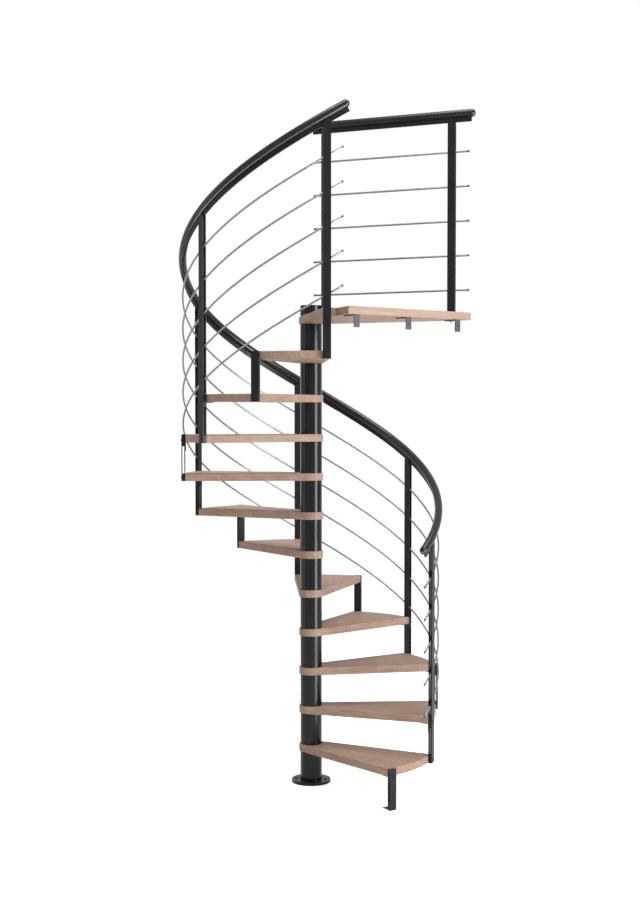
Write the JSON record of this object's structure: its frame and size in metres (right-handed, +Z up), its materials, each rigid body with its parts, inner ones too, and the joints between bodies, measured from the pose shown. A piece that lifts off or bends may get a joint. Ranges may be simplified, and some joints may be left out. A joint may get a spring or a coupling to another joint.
{
  "type": "spiral staircase",
  "caption": "Spiral staircase with wooden winder treads, dark steel column, baluster posts, rod infill and a wooden exit platform",
  "frame": {"origin": "column axis at the underside of the base plate, on the lower floor", "axes": "+Z up along the column; -Y out of the platform's exit edge; the flight climbs counter-clockwise seen from above"},
  "size_m": [1.4158, 1.5032, 3.5544],
  "materials": {
    "beech": "satin lacquered beech, glued staves",
    "black_steel": "satin anthracite powder coat",
    "stainless": "brushed stainless rod",
    "rail_plastic": "smooth black plastic tube with a soft gloss",
    "bracket_steel": "grey painted steel"
  },
  "bodies": {
    "root": {"baluster_01": "black_steel", "baluster_03": "black_steel", "baluster_05": "black_steel", "baluster_07": "black_steel", "baluster_09": "black_steel", "baluster_11": "black_steel", "base_plate": "black_steel", "centre_pole": "black_steel", "column_cap": "black_steel", "column_spacers": "black_steel", "floor_brackets": "bracket_steel", "foot_link": "black_steel", "handrail_carrier": "black_steel", "handrail_end_caps": "rail_plastic", "handrail_tube": "rail_plastic", "infill_rod_1": "stainless", "infill_rod_2": "stainless", "infill_rod_3": "stainless", "infill_rod_4": "stainless", "infill_rod_5": "stainless", "platform": "beech", "platform_carrier": "black_steel", "platform_end_caps": "rail_plastic", "platform_handrail": "rail_plastic", "platform_post_far": "black_steel", "platform_post_near": "black_steel", "platform_rods": "stainless", "tread_01": "beech", "tread_02": "beech", "tread_03": "beech", "tread_04": "beech", "tread_05": "beech", "tread_06": "beech", "tread_07": "beech", "tread_08": "beech", "tread_09": "beech", "tread_10": "beech", "tread_11": "beech", "tread_brackets": "black_steel", "tread_link_02": "black_steel", "tread_link_04": "black_steel", "tread_link_06": "black_steel", "tread_link_08": "black_steel", "tread_link_10": "black_steel"}
  },
  "joints": []
}
